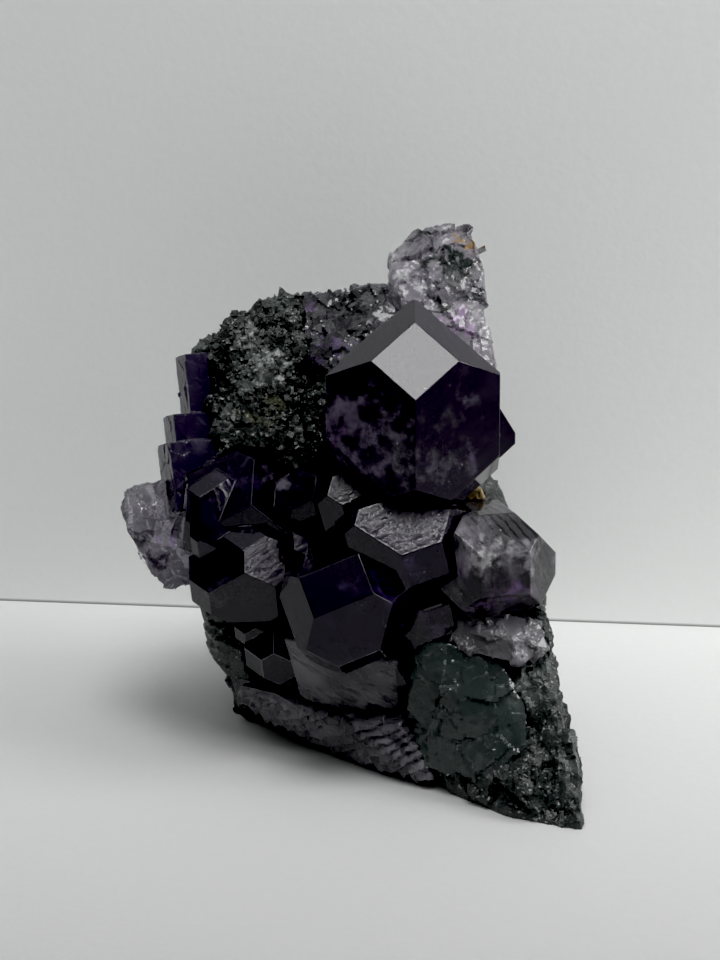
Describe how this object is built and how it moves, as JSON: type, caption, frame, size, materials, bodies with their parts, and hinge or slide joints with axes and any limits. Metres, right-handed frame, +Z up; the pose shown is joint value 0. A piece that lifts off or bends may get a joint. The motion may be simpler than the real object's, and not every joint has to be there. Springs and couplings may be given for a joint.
{
  "type": "fluorite on matrix specimen",
  "caption": "Purple and smoky fluorite crystals, cubes cut by dodecahedron faces, on dark rock with a flat sawn base to stand on.",
  "frame": {"origin": "on the flat sawn base, under the middle of the specimen", "axes": "+Z up out of the base, the crystals face -Y, +X to the right as seen from the front"},
  "size_m": [0.06, 0.0504, 0.0668],
  "materials": {
    "dark_rock": "rough broken rock with fine sparkle",
    "dark_purple_fluorite": "polished-looking growth faces, dark inside",
    "purple_fluorite": "glossy growth faces, some finely etched",
    "smoky_fluorite": "glossy, striated, pale smoky",
    "green_grey_fluorite": "smooth, dull gloss",
    "indigo_fluorite": "stepped, fine vertical lines",
    "pale_fluorite": "broken, translucent",
    "clear_fluorite": "broken, clear to pale lilac",
    "ridge_fluorite": "broken, cloudy",
    "rust_yellow": "rough, iron stained"
  },
  "bodies": {
    "root": {"matrix": "dark_rock", "crown_crystal": "dark_purple_fluorite", "purple_cluster": "purple_fluorite", "smoky_crystal": "smoky_fluorite", "green_fluorite": "green_grey_fluorite", "terrace_fluorite": "indigo_fluorite", "left_lump": "pale_fluorite", "peak_fluorite": "clear_fluorite", "ridge_fluorite": "ridge_fluorite", "iron_grain": "rust_yellow"}
  },
  "joints": []
}
